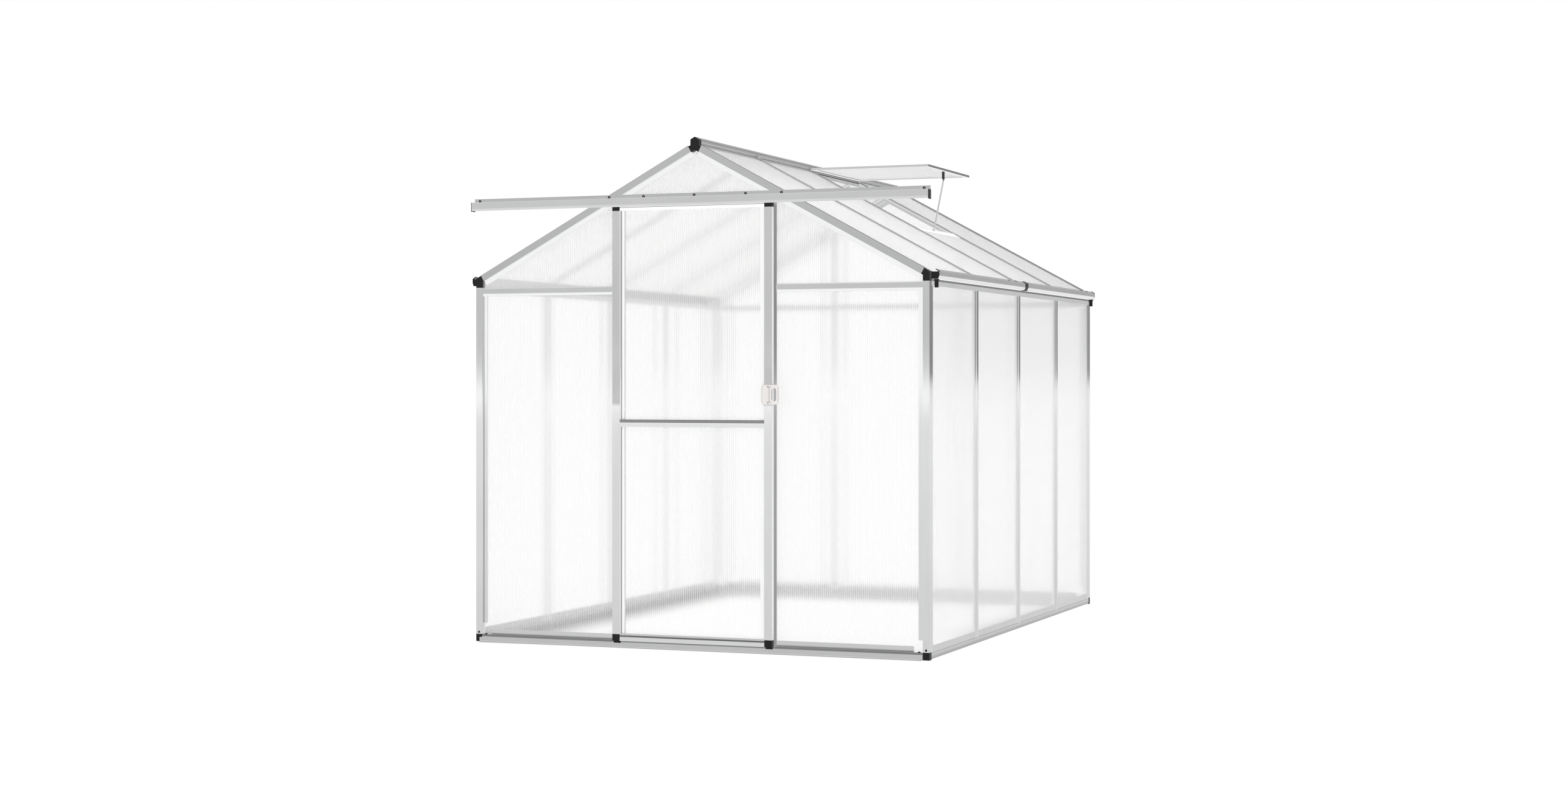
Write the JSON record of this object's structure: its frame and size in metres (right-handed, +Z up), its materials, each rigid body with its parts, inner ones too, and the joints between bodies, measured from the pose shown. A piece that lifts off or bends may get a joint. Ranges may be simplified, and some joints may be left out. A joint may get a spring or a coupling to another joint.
{
  "type": "walk-in greenhouse",
  "caption": "Walk-in greenhouse with an aluminium frame, twin-wall sheets, a sliding door on a full-width track, a propped roof vent and a gutter along each eaves.",
  "frame": {"origin": "on the ground, at the middle of the building's overall width and length, the gutters, door track and handle included", "axes": "+X to the right seen from in front of the door, +Y from the door gable to the rear gable, +Z up"},
  "size_m": [1.96, 2.5054, 1.9832],
  "materials": {
    "aluminium": "satin mill",
    "black_plastic": "satin moulded",
    "twin_wall_sheet": "translucent, fine upright ribs",
    "pale_metal": "satin"
  },
  "bodies": {
    "frame": {"base_rail_front": "aluminium", "base_rail_rear": "aluminium", "side_base_rails": "aluminium", "base_corners": "black_plastic", "floor_guide": "aluminium", "corner_posts_front": "aluminium", "corner_posts_rear": "aluminium", "side_bars_left": "aluminium", "side_bars_right": "aluminium", "front_studs": "aluminium", "rear_studs": "aluminium", "gable_transoms": "aluminium", "door_header": "aluminium", "eaves_beams": "aluminium", "eaves_corners": "black_plastic", "gutter_left": "aluminium", "gutter_right": "aluminium", "gutter_fittings": "black_plastic", "gutter_outlets": "black_plastic", "rafters_front": "aluminium", "rafters_rear": "aluminium", "ridge_beam": "aluminium", "ridge_end_caps": "black_plastic", "roof_bars_left": "aluminium", "roof_bars_right": "aluminium", "vent_sill": "aluminium", "vent_frame": "aluminium", "vent_sheet": "twin_wall_sheet", "vent_stay": "black_plastic", "front_sheets": "twin_wall_sheet", "front_apex_sheet": "twin_wall_sheet", "rear_sheets": "twin_wall_sheet", "side_sheets_left": "twin_wall_sheet", "side_sheets_right": "twin_wall_sheet", "roof_sheets_left": "twin_wall_sheet", "roof_sheets_right": "twin_wall_sheet", "door_track": "aluminium", "track_end_plates": "black_plastic"},
    "door": {"door_stiles": "aluminium", "door_rails": "aluminium", "door_sheets": "twin_wall_sheet", "door_end_caps": "black_plastic", "door_rollers": "black_plastic", "handle_plate": "pale_metal"},
    "pull": {"handle_pull": "pale_metal"}
  },
  "joints": [
    {"name": "door_slide", "type": "slide", "parent": "frame", "child": "door", "axis": [1, 0, 0], "range_m": [-0.58, 0.58]},
    {"name": "pull_hinge", "type": "hinge", "parent": "door", "child": "pull", "pos_m": [0.3243, -1.2496, 0.988], "axis": [0, 0, -1], "range_deg": [0, 110]}
  ]
}
